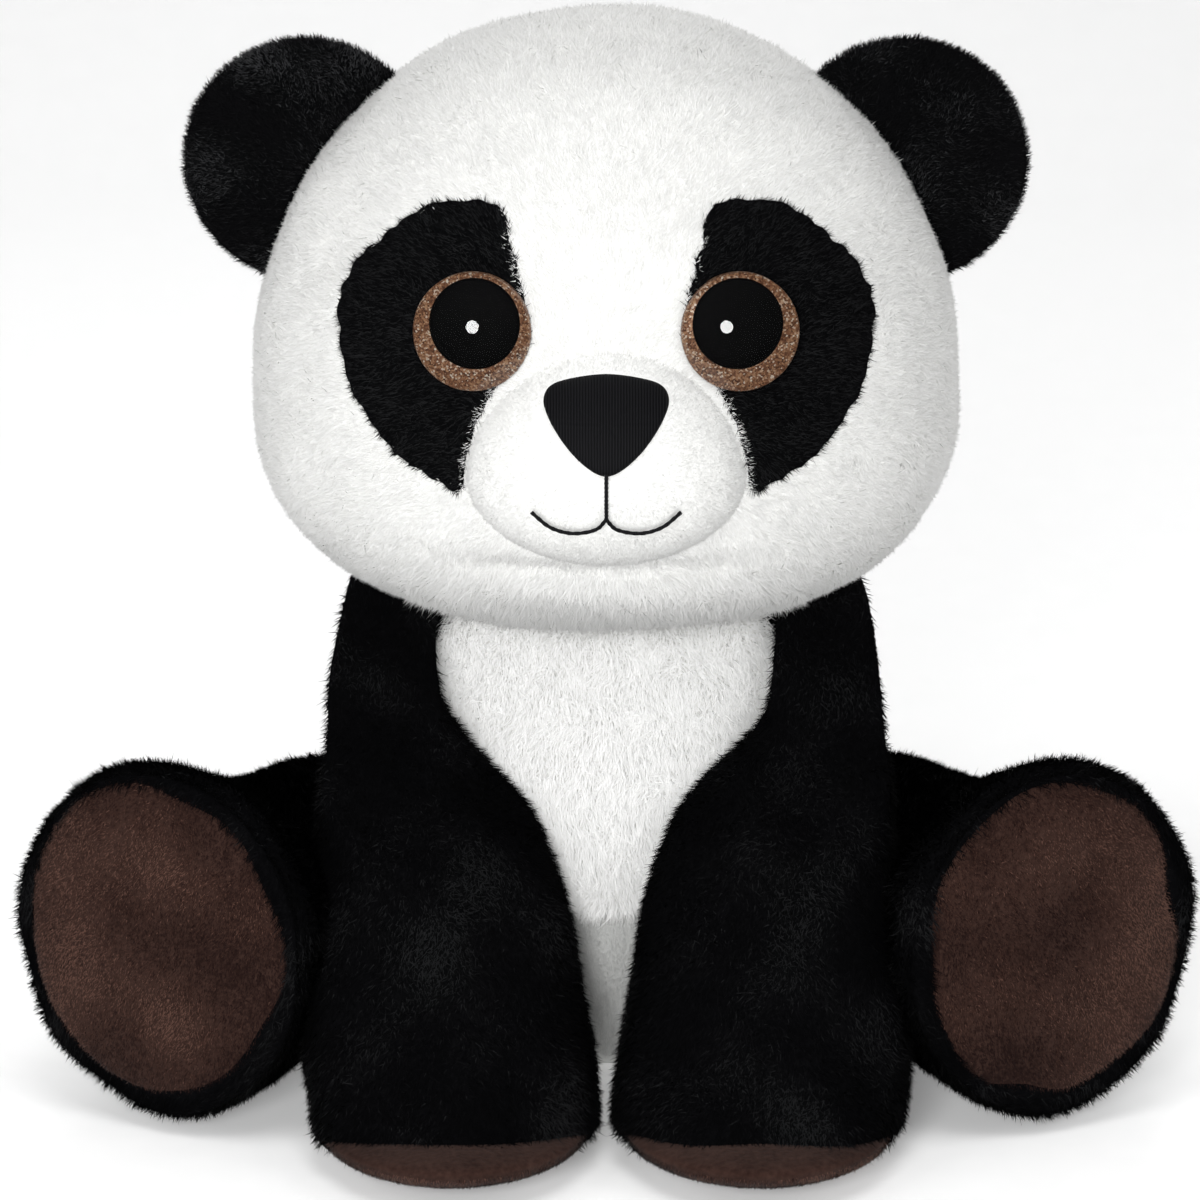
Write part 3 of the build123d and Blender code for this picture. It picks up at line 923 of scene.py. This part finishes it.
def build_eyes():
    """Safety eyes: a glitter disc and a black pupil under a clear dome."""
    clear = plastic_material("clear_dome_plastic", (0.01, 0.01, 0.01), 0.02, alpha=0.3, index=2.2)
    black = plastic_material("black_pupil_plastic", (0.001, 0.001, 0.0012), 0.5, shine=0.02)
    copper = glitter_material()
    for name, side in SIDES:
        level = math.cos(EYE_TURN_UP)
        out, front = math.sin(EYE_TURN_OUT) * level, math.cos(EYE_TURN_OUT) * level
        axis = np.array([side * out, -front, math.sin(EYE_TURN_UP)])
        up = unit(np.array([[0, 0, 1.0]]) - axis * axis[2])[0]
        centre = EYE_CENTRES[side] + axis * EYE_STANDS_OUT
        points, faces = dish(centre, axis, up, DISC_RADIUS, DISC_PROFILE)
        disc = new_object(f"{name}_eye_glitter_ring", points, faces, copper)
        pupil_centre = centre + up * 2.8 - np.array([side * 1.0, 0, 0])
        points, faces = dish(pupil_centre, axis, up, PUPIL_RADIUS, PUPIL_PROFILE)
        pupil = new_object(f"{name}_eye_pupil_disc", points, faces, black)
        points, faces = dish(centre, axis, up, DOME_RADIUS, dome_profile())
        dome = new_object(f"{name}_eye_dome", points, faces, clear)
        for piece, fixing in zip((disc, pupil, dome), EYE_SLOTS):
            make_outward(piece, axis)
            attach(piece, "head")
            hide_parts(f"{name}_{fixing}")


def make_outward(piece, axis):
    """Turns the faces the way the piece looks."""
    normals = np.array([polygon.normal for polygon in piece.data.polygons])
    if (normals @ axis).mean() < 0:
        piece.data.flip_normals()


# ---- ears, torso, limbs, tail ----
def build_ears():
    """Each ear's front and back cover, sewn together round the rim."""
    for name, side in SIDES:
        surface, middle = ear_form(side)
        seam = middle[1] - 2

        def front(p):
            return ~inside_head(p, -4) & (p[:, 1] < seam)

        def back(p):
            return ~inside_head(p, -4) & (p[:, 1] >= seam)

        def outwards(p):
            return unit(p - (middle - np.array([side * 22, 0, 22]))) * np.array([1, 0.2, 1])

        for number, (face, keep) in enumerate((("front", front), ("back", back))):
            node = f"{name}_ear_{face}"
            cover(node, f"{name}_ear", surface, keep, BLACK_BASE, EAR_PILE, EAR_PILE_TINTS, outwards,
                  200 + number + 10 * side, [f"{node}_wadding"], shade=painted_sheen_patches)


def inside_head(points, grow):
    middle = np.array([0, HEAD_MID[1], HEAD_MID[2]])
    radii = np.array([HEAD_HALF_WIDTH, HEAD_HALF_DEPTH, HEAD_HALF_DEPTH]) + grow
    return np.sum(((points - middle) / radii) ** 2, axis=1) < 1


def down(points):
    return np.tile(np.array([0, 0, -1.0]), (len(points), 1))


LOWER_HALF_WIDTH = 46
LOWER_TOP = 110
SEAT_TOP = 10
BELLY_LIFT = 0.8


def build_torso():
    """The lower front, the two black panels, the belly laid over them, and the seat."""
    surface = torso_form()

    def front(p):
        return p[:, 1] < TORSO_MID_Y - 5

    def lower(p):
        middle = np.abs(p[:, 0]) < LOWER_HALF_WIDTH
        return front(p) & middle & (p[:, 2] < LOWER_TOP) & (p[:, 2] > SEAT_TOP)

    def seat(p):
        return p[:, 2] <= SEAT_TOP

    def left(p):
        return ~lower(p) & ~seat(p) & (p[:, 0] >= 0)

    def right(p):
        return ~lower(p) & ~seat(p) & (p[:, 0] < 0)

    def no_belly(keep):
        return lambda p: keep(p) & ~(front(p) & inside_outline(p[:, 0], p[:, 2], BELLY))

    cover("lower_front_panel", "torso", surface, lower, LOWER_SHADED_BASE, LOWER_PILE, SHADED_WHITE_PILE, down, 301,
          keep_pile=no_belly(lower))
    cover("torso_left_panel", "torso", surface, left, BLACK_BASE, TORSO_PILE, BLACK_PILE, down, 302,
          keep_pile=no_belly(left))
    cover("torso_right_panel", "torso", surface, right, BLACK_BASE, TORSO_PILE, BLACK_PILE, down, 303,
          keep_pile=no_belly(right))
    belly = laid_panel(BELLY, surface, BELLY_LIFT)
    cover("belly_panel", "torso", belly, everywhere, WHITE_BASE, BELLY_PILE, BELLY_PILE_TINTS, down, 300)
    points, faces = part_of(surface, seat)
    skin = new_object("seat_panel_cloth", points, faces, LOWER_SHADED_BASE)
    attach(skin, "torso")
    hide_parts("seat_panel", "torso_stuffing", "neck_stuffing_ball")


def painted_sheen_patches(points, generator):
    """Painted sheen: paler tints in patches, where black pile brushed up here and there catches the light.
    """
    tone = waves(points, 34, 91) + generator.normal(size=len(points)) * 0.5
    return np.digitize(tone, [0.1, 0.85])


def mottled(points, generator):
    """Nap turned this way and that: broad patches, paler towards the toy's outer sides."""
    outer = np.abs(points[:, 0]) - np.abs(points[:, 0]).mean()
    tone = 0.75 * waves(points, 44, 77) + 0.016 * outer + generator.normal(size=len(points)) * 0.45
    return np.digitize(tone, [-0.25, 0.55])


PAW_TILT = math.radians(3)
PAW_SIDE = 50.5
PAW_HEIGHT = 12.5
LOWEST_PAD = 0.8


def build_arms():
    """Each arm's sleeve and the brown pad under its paw."""
    for name, side in SIDES:
        body = f"{name}_arm"
        paw_low, paw_high = box_mm(f"{name}_paw_pad")
        centre = np.array([side * PAW_SIDE, (paw_low[1] + paw_high[1]) / 2 - 9, PAW_HEIGHT])
        facing = np.array([0, -math.sin(PAW_TILT), -math.cos(PAW_TILT)])
        towards_toes = np.array([0, -math.cos(PAW_TILT), math.sin(PAW_TILT)])
        pad = cap_form(centre, facing, towards_toes, 44.5, 50.5, 12, depth=6)
        pad.points[:, 2] = np.maximum(pad.points[:, 2], LOWEST_PAD)

        def above_pad(p):
            return p[:, 2] > 11.5

        def below_cuff(p):
            return p[:, 2] < 14

        def along(p):
            return np.tile(np.array([0, -0.45, -0.9]), (len(p), 1))

        cover(f"{body}_cover", body, arm_form(side), everywhere, BLACK_BASE, LIMB_PILE, BLACK_PILE, along,
              400 + side, [f"{body}_stuffing"], shade=painted_sheen_patches, keep_pile=above_pad)
        cover(f"{name}_paw_pad", body, pad, everywhere, BROWN_BASE, PAD_PILE, BROWN_PILE, along, 420 + side,
              [f"{name}_paw_pad_stuffing"], shade=mottled, keep_pile=below_cuff)


def build_legs():
    """Each leg and the brown pad on its sole."""
    for name, side in SIDES:
        body = f"{name}_leg"
        along, across = leg_axes(side)
        sole = sole_middle(side)
        pad_centre = sole + along + np.array([0, 0, 2.0])
        pad = cap_form(pad_centre, along, np.array([0, 0, 1.0]), 48.5, 56, 7.5, depth=5)
        pad.points += pad.normals * (0.8 * waves(pad.points, 34, 31 + side))[:, None]

        def off_sole(p):
            return ~within_sole(p, pad_centre, across, 47.5, 55, along)

        def comb(p):
            return np.tile(along, (len(p), 1)) + np.array([0, 0, -0.25])

        def facing(p):
            return ((p - pad_centre) @ along) > -1

        cover(f"{body}_cover", body, leg_form(side), everywhere, BLACK_BASE, LIMB_PILE, BLACK_PILE, comb,
              500 + side, [f"{body}_stuffing"], shade=painted_sheen_patches, keep_pile=off_sole)
        cover(f"{name}_foot_pad", body, pad, everywhere, BROWN_BASE, PAD_PILE, BROWN_PILE, down, 520 + side,
              [f"{name}_foot_pad_stuffing"], shade=mottled, keep_pile=facing)


def within_sole(points, sole, across, half_width, half_height, along):
    """True under the sole's pad, where no black pile grows."""
    offset = points - sole
    sideways = offset @ across
    flat = (sideways / half_width) ** 2 + (offset[:, 2] / half_height) ** 2
    return (flat < 1) & (offset @ along > -8)


def build_tail():
    """A short white tail. Its radii are in millimetres."""
    low, high = box_mm("tail_cover")
    centre = (low + high) / 2
    directions = globe_directions(40, 60).reshape(-1, 3)
    surface = outward(directions * np.array([15, 12, 14]) + centre, grid_faces(40, 60))

    def outside(p):
        return p[:, 1] > torso_high[1] - 8

    cover("tail_cover", "torso", surface, everywhere, WHITE_BASE, TAIL_PILE, WHITE_PILE, down, 600,
          ["tail_stuffing"], keep_pile=outside)


def build_label():
    """A blank satin loop, sewn in by both ends and folded at its free end."""
    low, high = box_mm("care_label")
    middle = (low + high) / 2
    open_by = 1.4
    root = 14  # how far the ends go into the seam
    reach = high[1] - low[1]
    along = np.linspace(0, 1, 24)
    out = np.concatenate([along[:-1], along[::-1]])
    side = np.concatenate([-np.ones(len(along) - 1), [0], np.ones(len(along) - 1)])
    apart = side * open_by * np.sqrt(np.maximum(1 - out**4, 0)) * (0.4 + 0.6 * out)
    columns = np.linspace(low[2], high[2], 10)
    points = np.array([
        (middle[0] + x + 0.8 * math.sin(z / 5) * share, low[1] - root + (reach + root) * share, z)
        for share, x in zip(out, apart)
        for z in columns
    ])
    rows, width = len(out), len(columns)
    faces = [
        (r * width + c, r * width + c + 1, (r + 1) * width + c + 1, (r + 1) * width + c)
        for r in range(rows - 1)
        for c in range(width - 1)
    ]
    satin = cloth_material("label_satin", (0.78, 0.78, 0.78), (0.88, 0.88, 0.88), 0.8, 0.5, 0.3, 0.2)
    label = new_object("care_label_loop", points, faces, satin)
    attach(label, "torso")
    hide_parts("care_label")


def finish_hidden_nodes():
    """CAD nodes that still show get their own materials."""
    filling = cloth_material("fibre_filling", (0.75, 0.75, 0.73), (0.88, 0.88, 0.86), 3.0, 0.95, 0.1)
    thread_black = thread_material("closing_thread", (0.01, 0.01, 0.011), 0.5)
    post = plastic_material("post_black_plastic", (0.01, 0.01, 0.01), 0.4)
    washer = plastic_material("washer_white_plastic", (0.75, 0.75, 0.73), 0.45)
    for node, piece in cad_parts.items():
        material = filling
        if "washer" in node:
            material = washer
        elif "post" in node:
            material = post
        elif node == "closing_seam_thread":
            material = thread_black
        piece.data.materials.clear()
        piece.data.materials.append(material)


# ---- stage, light and camera ----
def build_stage():
    """A sheet of pale paper that curves up behind the toy."""
    pale, paler = (0.88, 0.88, 0.88), (0.92, 0.92, 0.92)
    floor_material = cloth_material("studio_paper", pale, paler, 8.0, 0.9, 0.0, 0.02)
    size = 6000
    profile = ((-size, 0), (1500, 0), (2300, 250), (2600, 1000), (2600, 5000))
    points = np.array([(x, y, z) for x in (-size, 0, size) for y, z in profile], float)
    rows = len(profile)
    faces = [
        (rows * c + r, rows * (c + 1) + r, rows * (c + 1) + r + 1, rows * c + r + 1)
        for c in range(2)
        for r in range(rows - 1)
    ]
    floor = new_object("studio_floor", points, faces, floor_material)
    glow = floor_material.node_tree.nodes["Principled BSDF"]
    glow.inputs["Emission Color"].default_value = (1, 1, 1, 1)
    glow.inputs["Emission Strength"].default_value = 0.22
    floor.visible_glossy = False


def add_light(name, size, power, place, target):
    """A round area lamp: its width in metres and its power in watts."""
    data = bpy.data.lights.new(name, "AREA")
    data.shape = "DISK"
    data.size = size
    data.energy = power
    lamp = bpy.data.objects.new(name, data)
    bpy.context.scene.collection.objects.link(lamp)
    lamp.location = place
    aim(lamp, target)
    return lamp


def aim(thing, target):
    """Turns a lamp or camera to look at a place."""
    direction = Vector(target) - Vector(thing.location)
    thing.rotation_euler = direction.to_track_quat("-Z", "Y").to_euler()


def build_light():
    """Soft light all round, and one small dish that is mirrored in the eyes."""
    world = bpy.data.worlds.new("studio")
    world.use_nodes = True
    world.node_tree.nodes["Background"].inputs["Color"].default_value = (1, 1, 1, 1)
    world.node_tree.nodes["Background"].inputs["Strength"].default_value = 0.36
    bpy.context.scene.world = world
    world.cycles_visibility.glossy = False
    add_light("key_dish", 0.5, 12.5, (-0.26, -1.55, 0.58), (0, 0, 0.2))
    soft = [
        add_light("top_softbox", 0.9, 7, (0, -0.7, 1.6), (0, 0, 0.25)),
        add_light("left_softbox", 1.2, 6, (-1.6, -0.9, 1.1), (0, 0, 0.2)),
        add_light("right_softbox", 1.2, 6, (1.6, -0.9, 1.1), (0, 0, 0.2)),
        add_light("back_softbox", 1.4, 8, (0, 1.4, 1.5), (0, 0, 0.25)),
    ]
    for lamp in soft:
        lamp.visible_glossy = False


def build_camera():
    """In front of the toy, looking a little down at it."""
    elevation = math.radians(16)
    distance = 1.70
    half_view = 0.204  # half of what the frame shows at the target
    half_sensor = 18
    target = np.array([-0.002, -0.013, 0.1725])
    data = bpy.data.cameras.new("camera")
    data.sensor_width = 2 * half_sensor
    data.lens = half_sensor / (half_view / distance)
    camera = bpy.data.objects.new("camera", data)
    bpy.context.scene.collection.objects.link(camera)
    camera.location = target + distance * np.array([0, -math.cos(elevation), math.sin(elevation)])
    aim(camera, target)
    bpy.context.scene.camera = camera
    bpy.context.scene.view_settings.view_transform = "Standard"


build_head()
build_muzzle()
build_eyes()
build_ears()
build_torso()
build_arms()
build_legs()
build_tail()
build_label()
finish_hidden_nodes()
build_stage()
build_light()
build_camera()
